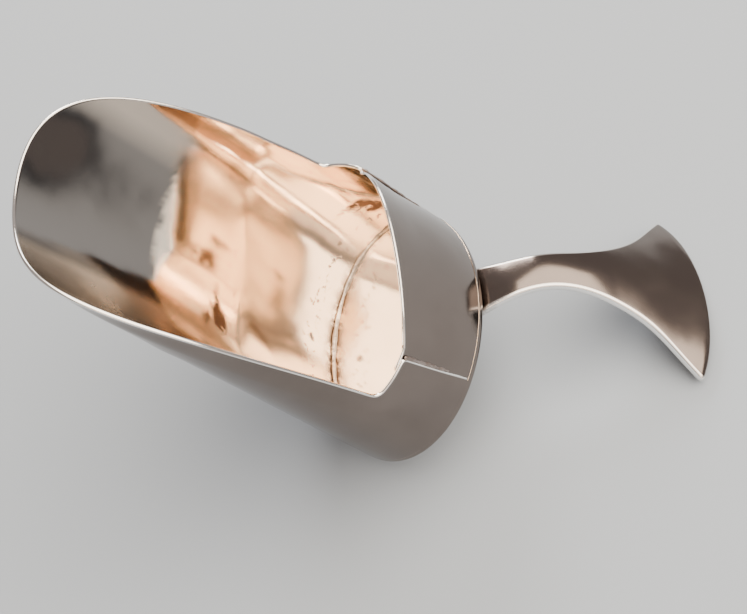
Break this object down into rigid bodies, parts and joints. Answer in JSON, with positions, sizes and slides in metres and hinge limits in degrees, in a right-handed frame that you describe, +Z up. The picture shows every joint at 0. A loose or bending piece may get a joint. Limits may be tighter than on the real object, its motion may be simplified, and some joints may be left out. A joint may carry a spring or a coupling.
{
  "type": "hooded scoop",
  "caption": "Small sheet-silver scoop with a rolled trough bowl, rounded lip, half hood, oval back plate and a bent strap handle that spreads into a fan it stands on.",
  "frame": {"origin": "middle of the standing scoop's bounding box, on the level that its heel and the handle's corners stand on", "axes": "+X towards the handle's fan end, +Y across the scoop, +Z up; the bowl's lip points up and towards -X"},
  "size_m": [0.0744, 0.036, 0.0487],
  "materials": {
    "silver_bowl": "hand-polished sheet, faint planishing waves, light wear and dull bruises near the lip",
    "silver_hood": "hand-polished sheet, slightly dulled along its soldered edges",
    "silver_plate": "hand-polished sheet with a softly rounded rim",
    "silver_handle": "hand-polished strap, fine scratches where fingers hold it",
    "silver_solder": "tarnished silver solder, matt grey with darker pits"
  },
  "bodies": {
    "root": {"bowl_body": "silver_bowl", "hood": "silver_hood", "back_plate": "silver_plate", "handle": "silver_handle", "back_plate_solder": "silver_solder", "hood_seam_solder_near": "silver_solder", "hood_seam_solder_far": "silver_solder", "handle_foot_solder": "silver_solder"}
  },
  "joints": []
}
